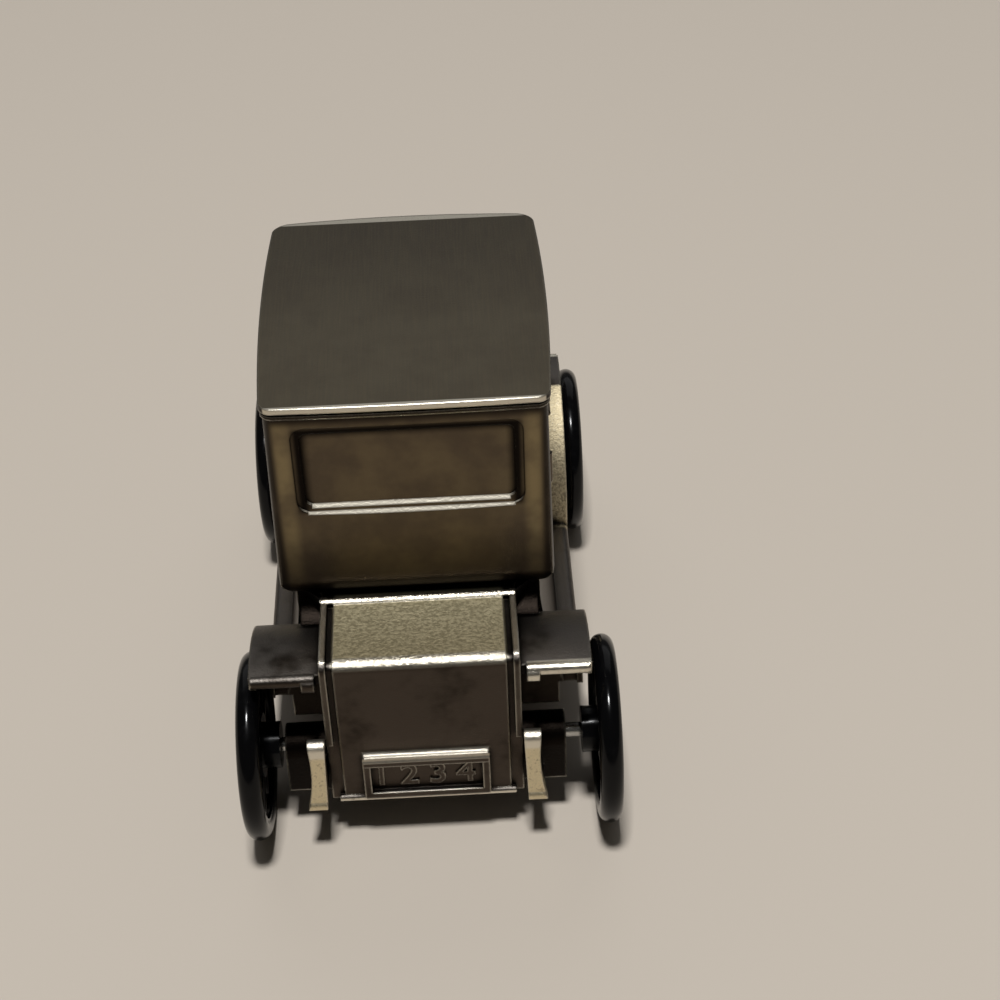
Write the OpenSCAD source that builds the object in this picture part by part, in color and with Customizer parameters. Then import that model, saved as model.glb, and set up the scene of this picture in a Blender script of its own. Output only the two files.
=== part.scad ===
// Die-cast toy car coin bank: a tall coupe of the early motoring years.
// The front of the car faces -Y, +Z is up, and the origin lies on the ground under the middle of the car.
// The left side of the car, as its driver sees it, is the +X side.

/* [Running gear] */
// Distance between the front and the rear axle
wheelbase = 95; // [92:0.5:98]
// Radius of a tyre, which is also the height of the axles
tyre_r = 19.3; // [18.5:0.1:19.8]
// Width of a tyre
tyre_w = 4.7; // [4.2:0.1:5]
// Distance of the middle of a tyre beyond the outer edge of its fender
wheel_out = 2; // [1.7:0.1:2.6]
// Radial depth of the tyre and the felloe together
rim_depth = 4.3; // [3.8:0.1:5]
// Width of the felloe inside the tyre
felloe_w = 3.8; // [3:0.1:4.1]
// Number of spokes in a wheel
spokes = 12; // [8:1:14]
// Radius of a spoke where it leaves the hub
spoke_hub_r = 1.4; // [1:0.05:1.6]
// Radius of a spoke where it meets the felloe
spoke_rim_r = 1; // [0.8:0.05:1.3]
// Radius of the hub barrel
hub_r = 4.75; // [4:0.05:5.2]
// Radius of the flange that the spokes grow from
hub_flange_r = 6.6; // [6:0.1:7.5]
// How far the hub barrel reaches towards the car from the middle of the tyre
hub_reach = 5; // [4:0.1:5.5]
// Radius of an axle between the wheels
axle_r = 1.5; // [1.4:0.05:1.8]
// Radius of the stepped end that a wheel turns on
axle_end_r = 1.2; // [1:0.05:1.3]
// Radial clearance of a turning shaft in its hole
turn_fit = 0.06; // [0.04:0.01:0.09]
// Endways clearance of a wheel between the shoulder and the head of its axle
wheel_float = 0.15; // [0.1:0.05:0.25]
// How far the front wheels have slid to the left from the middle
front_slip = 1.1; // [0:0.1:1.6]

/* [Cab] */
// Width of the cab across its front corners
cab_w = 54; // [52:0.5:55]
// How much wider each side is at the middle than at the corners
side_bulge = 1.1; // [0.6:0.1:1.6]
// Length of the cab
cab_len = 66; // [64:0.5:67]
// How far the back wall bows out
back_bulge = 1.6; // [0.8:0.1:2]
// How far the front wall bows out
front_bulge = 0.4; // [0.2:0.1:0.8]
// Height of the roof edge above the ground
roof_z = 93.4; // [90:0.2:96]
// Height of the seam between the cab and the chassis
seam_z = 48.5; // [47:0.1:49.5]
// Radius of the rolled-under lower edge of the cab
under_r = 8; // [7:0.1:9]
// Radius of the two front corners
front_corner_r = 2.6; // [2:0.1:4]
// Radius of the two back corners
back_corner_r = 4; // [3:0.1:5]
// Thickness of the cab's walls
cab_wall = 2.6; // [2.4:0.1:3]
// Rise of the roof from its front edge to its middle
roof_crown = 0.6; // [0.3:0.1:1.2]
// Width of the windscreen frame over its outside
screen_w = 44.6; // [42:0.2:46]
// Height of the windscreen frame over its outside
screen_h = 20.4; // [18:0.2:21]
// Height of the lower edge of the windows
sill_z = 67.9; // [66:0.1:69]
// Width of the step round each window
frame_w = 1.7; // [1.2:0.1:2]
// Height of the step at the foot of each window
sill_step = 1.4; // [1.2:0.1:2]
// Depth of each of a window's two steps
step_d = 0.75; // [0.5:0.05:0.9]
// Width of a side door
door_w = 26; // [24:0.5:28]

/* [Coin slot and trap] */
// Length of the coin slot
slot_len = 33; // [31:0.5:34]
// Width of the coin slot
slot_w = 4.4; // [4.3:0.1:5]
// Radius of the coin opening in the base plate
trap_r = 17; // [16.5:0.1:17.5]
// Clearance between the trap cover and the opening
trap_fit = 0.3; // [0.2:0.05:0.4]
// Distance of the lock from the middle of the trap
lock_offset = 6; // [5.5:0.1:6.5]
// Radius of the turning plug of the lock
plug_r = 4.6; // [4.2:0.1:4.8]
// Outer radius of the lock barrel
barrel_r = 6.5; // [6.2:0.1:6.8]

/* [Chassis] */
// Width of the hood and of the trunk over their ribs
hood_w = 39.2; // [38:0.2:40]
// Thickness of the chassis walls
wall = 2.2; // [1.8:0.1:2.4]
// Distance of the front face of the hood from the middle of the car
hood_y = 55.2; // [54:0.1:56.5]
// Height of the hood's top panel
hood_z = 47; // [45:0.1:47.4]
// Height of the underside of the chassis above the ground
floor_z = 10; // [9:0.1:10.5]
// Width over the outer edges of the fenders
fender_w = 67.4; // [66:0.2:68.4]
// Thickness of a fender
fender_t = 2.2; // [1.8:0.1:2.6]
// Radial gap between a tyre and its fender
fender_gap = 2.9; // [2.2:0.1:3.4]
// How far a fender reaches outwards past its axle
fender_lead = 5.5; // [4.5:0.1:7]
// Height of the top of the running boards
board_z = 16; // [15:0.1:17]
// Thickness of the running boards
board_t = 3.2; // [2.6:0.1:3.6]
// Thickness of the steel base plate
plate_t = 1.2; // [0.8:0.1:1.5]
// How far the base plate is set up into the chassis
plate_inset = 1.8; // [1.7:0.1:2]
// Width over the ends of the axle carriers
carrier_w = 57; // [55:0.5:58]
// Width of a spring horn
horn_w = 3.5; // [3:0.1:4]

/* [Hidden] */
$fn = 64;
big_fn = 360;
small_fn = 32;
eps = 0.01;
cut = 20;

bronze = [0.36, 0.30, 0.19];
dark_bronze = [0.27, 0.23, 0.16];
black_plastic = [0.03, 0.03, 0.035];
steel = [0.62, 0.62, 0.64];
brass = [0.71, 0.56, 0.28];

// Cab outline
side_r = (pow(cab_len / 2, 2) + pow(side_bulge, 2)) / (2 * side_bulge);
side_cx = side_r - cab_w / 2 - side_bulge;
back_r = (pow(cab_w / 2, 2) + pow(back_bulge, 2)) / (2 * back_bulge);
back_cy = cab_len / 2 + back_bulge - back_r;
front_r = (pow(cab_w / 2, 2) + pow(front_bulge, 2)) / (2 * front_bulge);
front_cy = front_r - cab_len / 2 - front_bulge;
under_z = seam_z + 0.85 * under_r;
crown_steps = 5;
corner_over = 1.01;
roof_slab_t = 1.3;
roof_lip = 0.6;
drip_t = 0.9;
drip_gap = 0.5;
drip_lip = 0.4;
wall_top_z = roof_z - roof_slab_t;

// Windows and doors
frame_r = 2.8;
pane_r = frame_r - 1.2;
pane_low_z = sill_z + sill_step;
pane_h = sill_z + screen_h - frame_w - pane_low_z;
pane_z = pane_low_z + pane_h / 2;
sill_over = 0.3;
slot_r = 1;
quarter_window_w = 14;
door_window_w = 21;
door_gap_w = 0.6;
door_gap_depth = 0.4;
door_low_z = 55;
door_r = 2.4;
handle_z = 62.5;
handle_len = 5.5;
handle_r = 0.65;
hinge_r = 0.7;
hinge_len = 4.5;
quarter_y = 21.5;
door_top_z = sill_z + screen_h + 1.9;
handle_base_h = 0.6;

// Cab fixing
post_x = 18.2;
post_y = 22.6;
post_r = 3;
post_len = 13;
pilot_r = 1.2;
thread_fit = 0.05;
cab_lug_t = 3;
cab_mouth_x = 20.4;
cab_mouth_y = 25.4;
screw_head_r = 2.3;
screw_head_h = 1.5;
clear_r = 1.45;
drive_slot_w = 0.6;
drive_slot_d = 0.6;

// Tub under the cab
tub_y = 29.8;
tub_top_x = 24.3;
tub_low_x = 29.4;
tub_foot_x = 28.4;
flare = 1;
flare_len = norm([tub_low_x - tub_top_x, seam_z - board_z]);
flare_r = (pow(flare_len / 2, 2) + pow(flare, 2)) / (2 * flare);
flare_out = [seam_z - board_z, tub_low_x - tub_top_x] / flare_len;
flare_c = [(tub_low_x + tub_top_x) / 2, (seam_z + board_z) / 2] + flare_out * (flare_r - flare);

// Hood, ribs and number plate
rib_w = 1.3;
groove_w = 1.3;
groove_d = 0.7;
rib_h = 0.4;
hood_edge_r = 2.2;
rib_foot_z = 26;
hood_back_y = 34.9;
bridge_z = hood_z - 1.6;
lip_r = 0.75;
back_lip_r = 1;
badge_w = 25.6;
badge_h = 11.6;
badge_bar = 1.5;
badge_proud = 1.3;
badge_z = floor_z + 1.3;
badge_top = 2.4;
apron_x = 18;

// Fenders and running boards
fender_in_r = tyre_r + fender_gap;
fender_out_r = fender_in_r + fender_t;
fender_x = fender_w / 2;
fender_lip_w = 1.3;
fender_lip_d = 0.8;
fender_bead_r = 1.3;
curl_r = 1.7;
curl_len = 2.6;
curl_drop = 0.9;
curl_gap = 1.2;
fillet_r = 7.5;
board_edge_r = board_t / 2;
board_x = fender_x;
board_y = wheelbase / 2 - sqrt(pow(fender_in_r, 2) - pow(tyre_r - board_z + board_t / 2, 2));

// Axle carriers and spring horns
carrier_r = 4.3;
carrier_x = carrier_w / 2;
horn_x = 21.5;
horn_front_y = hood_y + 4.3;
horn_t = 2.2;
horn_low_z = floor_z + 2.6;
horn_top_z = 28;
horn_eye_r = 1.7;
horn_foot_r = 1.3;
horn_lean = 0.6;
horn_flare = 1.1;
horn_waist = 0.8;
arm_low_z = 14.5;
arm_top_z = 18.5;

// Axles and wheels
track = fender_w + 2 * wheel_out;
tyre_round_r = tyre_w / 2;
hub_face = 1;
hub_collar_h = 2.2;
hub_collar_r = 4.2;
collar_bore_r = 2.9;
flange_half = spoke_hub_r + 0.1;
spoke_in_r = hub_flange_r - 1;
stud_r = 0.55;
stud_h = 0.5;
studs = 6;
head_r = 2.3;
head_h = 1.1;
head_dome_r = (pow(head_r, 2) + pow(head_h, 2)) / (2 * head_h);
shoulder_x = track / 2 - hub_reach - wheel_float;
head_x = track / 2 + hub_face + wheel_float;
bore_r = axle_end_r + turn_fit;

// Base plate
plate_fit = 0.25;
plate_z = floor_z + plate_inset;
plate_x = tub_foot_x - wall - plate_fit;
plate_y = tub_y - wall - plate_fit;
tongue_x = hood_w / 2 - wall - plate_fit;
tongue_y = hood_y - wall - plate_fit;
plate_top_z = plate_z + plate_t;
plate_corner_r = 2;
side_boss_x = 22.9;
side_boss_r = 2.8;
side_boss_h = 12;
end_post_y = 40.4;
end_post_r = 3;
plate_pilot_len = 8;
collar_t = 1;
collar_h = 2.8;
stiff_x = 10.5;
stiff_r = 1.6;
stiff_t = 0.8;
stiff_y0 = 34;
stiff_y1 = 49;

// Coin trap and lock
rim_t = 1;
seat_gap = 0.1;
rim_r = trap_r + 1.8;
pan_r = trap_r - trap_fit;
pan_t = 1;
rim_low_z = plate_z - seat_gap - rim_t;
disc_low_z = plate_z + 1.2;
disc_top_z = disc_low_z + pan_t;
collar_top_z = plate_top_z + collar_h;
catch_gap = 0.3;
catch_t = 1.2;
catch_w = 8;
catch_reach = trap_r + collar_t + 0.6;
spigot_fit = 0.08;
barrel_flange_t = 1;
barrel_top_z = plate_z + 10;
plug_lip_r = plug_r + 0.8;
plug_lip_t = 1.2;
rivet_r = 0.9;
rivet_head_r = 1.5;
rivet_head_h = 0.6;
rivet_at = barrel_r + rivet_head_r + 0.15;
barrel_flange_r = rivet_at + rivet_head_r + 0.2;
keyway_w = 1.3;
keyway_len = 6.4;
keyway_depth = 5.5;
ward_w = 0.8;
ward_len = 1.6;
tang_w = 4.4;
tang_fit = 0.08;
shoulder_gap = 0.3;
washer_t = 0.6;
washer_r = plug_r - 0.1;
ear_r = barrel_r - 0.2;
ear_half = 20;
stop_h = shoulder_gap + washer_t - 0.15;
turn_deg = 90;
stop_play = 1;
cam_t = 1.2;
cam_w = 6;
cam_leg_in = barrel_r + 1.6;
cam_reach = catch_reach - lock_offset;
cam_low_z = collar_top_z + catch_gap;
tang_z = barrel_top_z + shoulder_gap;
cam_seat_z = tang_z + washer_t;
cam_screw_r = 1.1;
cam_screw_head_r = 2.6;
cam_screw_head_h = 1.1;
cam_screw_len = 5;

// Where two circles cross, on the +X side and towards the sign of dir in Y
function meet(c0, r0, c1, r1, dir) =
  let (d = norm(c1 - c0), a = (d * d + r0 * r0 - r1 * r1) / (2 * d), h = sqrt(r0 * r0 - a * a), u = (c1 - c0) / d)
    c0 + a * u + dir * h * [-u[1], u[0]];

// Half width of the cab at a place along its length
function side_x(y) = sqrt(side_r * side_r - y * y) - side_cx;

module rounded_rect(w, h, r) {
  square([w - 2 * r, h], center = true);
  square([w, h - 2 * r], center = true);
  for (x = [-1, 1], y = [-1, 1])
    translate([x * (w / 2 - r), y * (h / 2 - r)]) circle(r, $fn = small_fn);
}

module both_ends() {
  for (m = [0, 1]) mirror([0, m, 0]) children();
}

module both_sides() {
  for (m = [0, 1]) mirror([m, 0, 0]) children();
}

// Extrudes an outline drawn as [Y, Z] along X, centred
module across(width) {
  rotate([90, 0, 90]) linear_extrude(width, center = true) children();
}

// Extrudes an outline drawn as [X, Z] along Y, centred
module along(length) {
  rotate([90, 0, 0]) linear_extrude(length, center = true) children();
}

// Plan of the cab: bowed sides, bowed ends and round corners
module cab_plan(inset) {
  side_c = [-side_cx, 0];
  back_c = [0, back_cy];
  front_c = [0, front_cy];
  rb = back_corner_r - inset / 2;
  rf = front_corner_r - inset / 2;
  difference() {
    intersection() {
      square([cab_w + cut, cab_len + cut], center = true);
      translate(side_c) circle(side_r - inset, $fn = big_fn);
      translate(-side_c) circle(side_r - inset, $fn = big_fn);
      translate(back_c) circle(back_r - inset, $fn = big_fn);
      translate(front_c) circle(front_r - inset, $fn = big_fn);
    }
    for (m = [0, 1]) mirror([m, 0]) {
      corner_cut(meet(side_c, side_r - inset - rb, back_c, back_r - inset - rb, 1), rb, 1);
      corner_cut(meet(side_c, side_r - inset - rf, front_c, front_r - inset - rf, -1), rf, -1);
    }
  }
}

// What a round corner takes off, beyond c in +X and towards dir in Y; the arc crosses the sides at a slight angle
module corner_cut(c, r, dir) {
  translate(c) difference() {
    translate([0, dir > 0 ? 0 : -cut]) square(cut);
    circle(corner_over * r);
  }
}

// Outline from the front with the lower corners rolled under
module cab_front(inset) {
  half = cab_w / 2 + side_bulge;
  difference() {
    translate([-half - cut, seam_z + max(inset, 0)]) square([2 * (half + cut), roof_z]);
    for (m = [0, 1]) mirror([m, 0]) translate([half - under_r, under_z])
      difference() {
        translate([0, -cut]) square(cut);
        circle(under_r - inset);
      }
  }
}

// Outline from the side with the lower edges rolled under
module cab_side(inset) {
  difference() {
    translate([-cab_len, seam_z + max(inset, 0)]) square([2 * cab_len, roof_z]);
    translate([cab_len / 2 + back_bulge - under_r, under_z]) under_cut(inset);
    mirror([1, 0]) translate([cab_len / 2 + front_bulge - under_r, under_z]) under_cut(inset);
  }
}

module under_cut(inset) {
  difference() {
    translate([0, -cut]) square(cut);
    circle(under_r - inset);
  }
}

module cab_body(inset, top) {
  intersection() {
    translate([0, 0, seam_z]) linear_extrude(top - seam_z) cab_plan(inset);
    along(2 * cab_len) cab_front(inset);
    across(2 * cab_w) cab_side(inset);
  }
}

// Upright skin of the cab at an inset, from just under the windows to just over them
module skin(inset, margin) {
  translate([0, 0, door_low_z - margin]) linear_extrude(door_top_z - door_low_z + 2 * margin) cab_plan(inset);
}

// Cut for one window, drawn as [across, up] and going in from the wall at z = 0: two steps, each with a sloping sill
module window_cut(w) {
  translate([0, 0, -step_d]) linear_extrude(cut) translate([0, sill_z + screen_h / 2]) rounded_rect(w, screen_h, frame_r);
  translate([0, 0, -2 * step_d]) linear_extrude(cut) pane(w);
  sill_slope(w - 1.4 * frame_r, 0, sill_z, 1);
  sill_slope(w - 2 * frame_w - 1.4 * pane_r, step_d, pane_low_z, sill_over);
}

module pane(w) {
  translate([0, pane_z]) rounded_rect(w - 2 * frame_w, pane_h, pane_r);
}

// Takes the edge at a depth and height off at 45 degrees; over is how far the cut goes on outwards
module sill_slope(len, depth, z, over) {
  rotate([0, 90, 0]) linear_extrude(len, center = true)
    polygon([[depth - over, z - step_d - over], [depth + step_d, z], [depth + step_d, z + over], [depth - over, z + over]]);
}

module windows() {
  translate([0, -cab_len / 2 - front_bulge, 0]) rotate([90, 0, 0]) window_cut(screen_w);
  translate([0, cab_len / 2 + back_bulge, 0]) rotate([90, 0, 180]) window_cut(screen_w);
  both_sides() translate([side_x(0), 0, 0]) rotate([90, 0, 90]) window_cut(door_window_w);
  both_sides() both_ends() translate([side_x(quarter_y), quarter_y, 0]) rotate([90, 0, 90 + asin(quarter_y / side_r)]) window_cut(quarter_window_w);
}

module door_gaps() {
  h = door_top_z - door_low_z;
  across(2 * cab_w)
    translate([0, door_low_z + h / 2])
      difference() {
        rounded_rect(door_w, h, door_r);
        rounded_rect(door_w - 2 * door_gap_w, h - 2 * door_gap_w, door_r - door_gap_w);
      }
}

module door_furniture() {
  handle_y = door_w / 2 - 4;
  x = side_x(handle_y);
  translate([x - handle_base_h, handle_y, handle_z]) rotate([0, 90, 0]) cylinder(r = 2 * handle_r, h = 2 * handle_base_h, $fn = small_fn);
  translate([x + handle_r, handle_y, handle_z]) rotate([90, 0, 0]) {
    cylinder(r = handle_r, h = handle_len, $fn = small_fn);
    sphere(handle_r, $fn = small_fn);
    translate([0, 0, handle_len]) sphere(handle_r, $fn = small_fn);
  }
  for (z = [door_low_z + 5, sill_z - 5])
    translate([side_x(door_w / 2), -door_w / 2 - hinge_r, z]) cylinder(r = hinge_r, h = hinge_len, center = true, $fn = small_fn);
}

module roof() {
  half = cab_len / 2;
  intersection() {
    translate([0, 0, wall_top_z]) linear_extrude(roof_slab_t + roof_crown + 1) cab_plan(-roof_lip);
    across(2 * cab_w)
      polygon(concat(
        [[-cab_len, sill_z], [cab_len, sill_z]],
        [for (i = [2 * crown_steps : -1 : -2 * crown_steps])
          let (y = i * half / crown_steps) [y, roof_z + roof_crown * (1 - pow(y / half, 2))]]
      ));
  }
  translate([0, 0, wall_top_z - drip_gap - drip_t]) linear_extrude(drip_t) cab_plan(-drip_lip);
}

module cab_posts(r, z, h) {
  for (x = [-post_x, post_x], y = [-post_y, post_y]) translate([x, y, z]) cylinder(r = r, h = h);
}

module wall_recess(depth) {
  difference() {
    skin(-cab_wall, 0);
    skin(depth, 1);
  }
}

module cab_casting() {
  color(bronze)
    difference() {
      union() {
        difference() {
          union() {
            cab_body(0, wall_top_z + eps);
            roof();
          }
          cab_body(cab_wall, roof_z - cab_wall);
          translate([0, 0, seam_z - 1]) linear_extrude(cab_wall + 2) rounded_rect(2 * cab_mouth_x, 2 * cab_mouth_y, 2);
          windows();
          intersection() {
            wall_recess(door_gap_depth);
            door_gaps();
          }
        }
        cab_posts(post_r, seam_z, post_len);
        both_sides() door_furniture();
      }
      cab_posts(pilot_r, seam_z - 1, post_len);
      translate([0, cab_len / 2, pane_z]) rotate([90, 0, 0]) linear_extrude(cut, center = true) rounded_rect(slot_len, slot_w, slot_r);
    }
}

// Outline of the tub from the front, with concave flaring sides
module tub_front(inset) {
  for (m = [0, 1]) mirror([m, 0]) {
    translate([0, floor_z - (inset > 0 ? 1 : 0)]) square([tub_foot_x - inset, board_z - floor_z + 1]);
    difference() {
      translate([0, board_z]) square([tub_low_x + cut, seam_z - board_z + (inset > 0 ? 1 : 0)]);
      translate(flare_c) circle(flare_r + inset, $fn = big_fn);
    }
  }
}

module tub(inset) {
  intersection() {
    along(2 * (tub_y - inset)) tub_front(inset);
    translate([-tub_low_x + inset, -cab_len, 0]) cube([2 * (tub_low_x - inset), 2 * cab_len, roof_z]);
  }
}

// Side outline of the hood, grown by grow beyond the panel, as [distance from the middle, Z]
module hood_side(grow, low, back) {
  y1 = hood_y + grow;
  z1 = hood_z + grow;
  r = hood_edge_r + grow;
  difference() {
    translate([back, low]) square([y1 - back, z1 - low]);
    translate([y1 - r, z1 - r]) difference() {
      square(2 * r);
      circle(r);
    }
  }
}

// Turns an outline drawn as [distance from the middle, Z] towards the front of the car
module nose_across(width) {
  mirror([0, 1, 0]) across(width) children();
}

module hood_shell() {
  rib_x = hood_w / 2 - rib_w / 2;
  panel_x = hood_w / 2 - rib_w - groove_w;
  nose_across(hood_w) hood_side(-groove_d, floor_z, hood_back_y);
  nose_across(hood_w) translate([tub_y - 1, floor_z]) square([hood_back_y - tub_y + 2, bridge_z - floor_z]);
  nose_across(2 * panel_x) hood_side(0, floor_z, hood_back_y);
  for (x = [-rib_x, rib_x]) translate([x, 0, 0]) nose_across(rib_w) hood_side(rib_h, rib_foot_z, hood_back_y);
  translate([0, -hood_back_y - back_lip_r, hood_z - back_lip_r / 3]) rotate([0, 90, 0]) cylinder(r = back_lip_r, h = hood_w, center = true, $fn = small_fn);
  translate([0, -hood_y, floor_z + lip_r]) rotate([0, 90, 0]) cylinder(r = lip_r, h = 2 * apron_x, center = true, $fn = small_fn);
}

module hood_hollow() {
  nose_across(hood_w - 2 * wall) difference() {
    translate([tub_y, floor_z - 1]) square([hood_y - wall - tub_y, hood_z - wall - floor_z + 1]);
    translate([tub_y, bridge_z - wall]) square([hood_back_y - tub_y + wall, cut]);
  }
}

// Raised frame for the number plate, with a sloping top bar
module badge_frame() {
  translate([0, -hood_y - badge_proud + eps, badge_z + badge_h / 2]) rotate([-90, 0, 0]) linear_extrude(badge_proud + 1)
    difference() {
      rounded_rect(badge_w, badge_h, 0.5);
      translate([0, badge_bar / 4]) square([badge_w - 2 * badge_bar, badge_h - 2.5 * badge_bar], center = true);
    }
  top = badge_z + badge_h;
  nose_across(badge_w)
    polygon([
      [hood_y - 1, top - badge_top], [hood_y + badge_proud + 0.3, top - badge_top],
      [hood_y + badge_proud + 0.3, top - badge_top / 2], [hood_y, top + 0.6], [hood_y - 1, top + 0.6]
    ]);
}

module fender_ring(r_in, r_out) {
  lead_y = wheelbase / 2 + fender_lead;
  intersection() {
    translate([wheelbase / 2, tyre_r]) difference() {
      circle(r_out, $fn = 96);
      circle(r_in, $fn = 96);
    }
    translate([0, board_z - board_t]) square([lead_y, roof_z]);
  }
}

// One front fender on the left side; the others are its mirror images
module fender() {
  inner_x = hood_w / 2 - wall;
  lead_y = wheelbase / 2 + fender_lead;
  lead_z = tyre_r + sqrt(pow(fender_in_r + fender_t / 2, 2) - pow(fender_lead, 2));
  mid_x = (inner_x + fender_x) / 2;
  translate([mid_x, 0, 0]) nose_across(fender_x - inner_x) fender_ring(fender_in_r, fender_out_r);
  translate([fender_x - fender_lip_w / 2, 0, 0]) nose_across(fender_lip_w) fender_ring(fender_in_r - fender_lip_d, fender_out_r - 0.5);
  translate([hood_w / 2 + curl_gap, -lead_y, lead_z]) rotate([0, 90, 0]) cylinder(r = fender_bead_r, h = fender_x - hood_w / 2 - curl_gap - 0.3, $fn = small_fn);
  translate([hood_w / 2 + curl_gap, -lead_y - 0.2, lead_z - curl_drop]) rotate([0, 90, 0]) cylinder(r = curl_r, h = curl_len, $fn = small_fn);
  fillet_x = tub_top_x - hood_w / 2 + 1;
  translate([hood_w / 2 - 1 + fillet_x / 2, 0, 0]) nose_across(fillet_x) difference() {
    translate([tub_y - 1, seam_z - fillet_r - 7]) square([fillet_r, fillet_r + 5]);
    translate([tub_y + fillet_r - 0.6, seam_z - 1.2]) circle(fillet_r);
  }
}

module running_board() {
  x0 = tub_foot_x - 1;
  translate([x0, -board_y, board_z - board_t]) cube([board_x - board_edge_r - x0, 2 * board_y, board_t]);
  translate([board_x - board_edge_r, 0, board_z - board_edge_r]) rotate([90, 0, 0]) cylinder(r = board_edge_r, h = 2 * board_y, center = true, $fn = small_fn);
}

module carrier() {
  x0 = hood_w / 2 - wall;
  translate([x0, -wheelbase / 2, tyre_r]) rotate([0, 90, 0]) cylinder(r = carrier_r, h = carrier_x - x0);
  translate([x0, -wheelbase / 2 - carrier_r, floor_z]) cube([carrier_x - x0, 2 * carrier_r, tyre_r - floor_z]);
}

// Scrolled spring horn: an arm from the carrier, a flat front bar, an eye on top and a flared foot
module horn() {
  intersection() {
    translate([horn_x + horn_w / 2, 0, 0]) nose_across(2 * horn_w) horn_side();
    along(2 * cab_len) horn_front();
  }
}

module horn_side() {
  bar_y = horn_front_y - horn_t;
  difference() {
    union() {
      translate([bar_y, horn_low_z]) square([horn_t, horn_top_z - horn_low_z]);
      translate([horn_front_y - horn_eye_r, horn_top_z]) circle(horn_eye_r, $fn = small_fn);
      translate([horn_front_y - horn_foot_r + 0.5, horn_low_z + 0.3]) circle(horn_foot_r, $fn = small_fn);
      polygon([
        [wheelbase / 2 + 2, arm_low_z], [bar_y + eps, arm_low_z - 1.2],
        [bar_y + eps, arm_top_z + 2.2], [wheelbase / 2 + 2, arm_top_z + 1]
      ]);
    }
    translate([horn_front_y - horn_eye_r, horn_top_z]) circle(horn_eye_r / 3, $fn = small_fn);
  }
}

// Outline from the front: it leans outwards, its foot flares and its outer side is waisted
module horn_front() {
  x = horn_x - horn_w / 2;
  low = [x + horn_w + horn_flare, horn_low_z - horn_foot_r];
  high = [x + horn_w, horn_top_z + horn_eye_r];
  chord = norm(high - low);
  waist_r = (pow(chord / 2, 2) + pow(horn_waist, 2)) / (2 * horn_waist);
  out = [high[1] - low[1], low[0] - high[0]] / chord;
  difference() {
    polygon([[x, high[1]], [x + horn_lean, low[1]], [low[0] + 1, low[1]], [high[0] + 1, high[1]]]);
    translate((low + high) / 2 + out * (waist_r - horn_waist)) circle(waist_r, $fn = big_fn);
  }
}

// Corner lugs at the top of the tub, which the cab is screwed down on
module cab_lugs() {
  both_sides() both_ends()
    intersection() {
      translate([post_x - post_r - 0.4, post_y - post_r - 0.4, seam_z - cab_lug_t]) cube([cut, cut, cab_lug_t]);
      tub(wall / 2);
    }
}

module plate_outline(grow) {
  rounded_rect(2 * (plate_x + grow), 2 * (plate_y + grow), plate_corner_r);
  rounded_rect(2 * (tongue_x + grow), 2 * (tongue_y + grow), plate_corner_r);
}

module base_screw_places() {
  both_sides() translate([side_boss_x, 0, 0]) children();
  both_ends() translate([0, -end_post_y, 0]) children();
}

module chassis_casting() {
  color(bronze)
    difference() {
      union() {
        difference() {
          union() {
            tub(0);
            both_ends() hood_shell();
            badge_frame();
            both_sides() {
              both_ends() {
                fender();
                carrier();
                horn();
              }
              running_board();
            }
          }
          tub(wall);
          both_ends() hood_hollow();
        }
        cab_lugs();
        both_sides() {
          translate([side_boss_x, 0, plate_top_z]) cylinder(r = side_boss_r, h = side_boss_h);
          translate([side_boss_x, -side_boss_r / 2, plate_top_z]) cube([tub_foot_x - side_boss_x - 1, side_boss_r, side_boss_h]);
        }
        both_ends() translate([0, -end_post_y, plate_top_z]) cylinder(r = end_post_r, h = hood_z - wall / 2 - plate_top_z);
      }
      translate([0, 0, floor_z - 1]) linear_extrude(plate_inset + plate_t + 1) plate_outline(plate_fit);
      both_ends() translate([0, -wheelbase / 2, tyre_r]) rotate([0, 90, 0]) cylinder(r = axle_r + turn_fit, h = carrier_w + 2, center = true);
      cab_posts(clear_r, seam_z - cab_lug_t - 1, cab_lug_t + 2);
      base_screw_places() translate([0, 0, plate_top_z - 1]) cylinder(r = pilot_r, h = plate_pilot_len + 1);
    }
}

module stiffener(r) {
  translate([0, 0, plate_z]) rotate([90, 0, 0]) cylinder(r = r, h = stiff_y1 - stiff_y0, center = true, $fn = small_fn);
}

module base_plate() {
  color(dark_bronze)
    difference() {
      union() {
        translate([0, 0, plate_z]) linear_extrude(plate_t) plate_outline(0);
        translate([0, 0, plate_z]) cylinder(r = trap_r + collar_t, h = plate_t + collar_h);
        both_ends() both_sides() translate([stiff_x, -(stiff_y0 + stiff_y1) / 2, 0])
          intersection() {
            stiffener(stiff_r + stiff_t);
            translate([-stiff_r - stiff_t, -cut, plate_z]) cube([2 * (stiff_r + stiff_t), 2 * cut, cut]);
          }
      }
      translate([0, 0, plate_z - 1]) cylinder(r = trap_r, h = plate_t + collar_h + 2);
      both_ends() both_sides() translate([stiff_x, -(stiff_y0 + stiff_y1) / 2, 0]) stiffener(stiff_r);
      base_screw_places() translate([0, 0, plate_z - 1]) cylinder(r = clear_r, h = plate_t + 2);
    }
}

// Pan-head screw pointing up, with the underside of its head at z = 0
module screw(len) {
  difference() {
    union() {
      cylinder(r = pilot_r - thread_fit, h = len);
      translate([0, 0, -screw_head_h]) cylinder(r = screw_head_r, h = screw_head_h);
    }
    translate([0, 0, -screw_head_h]) cube([3 * screw_head_r, drive_slot_w, 2 * drive_slot_d], center = true);
  }
}

module base_plate_screws() {
  color(steel) base_screw_places() translate([0, 0, plate_z]) screw(plate_t + plate_pilot_len - 1);
}

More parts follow.
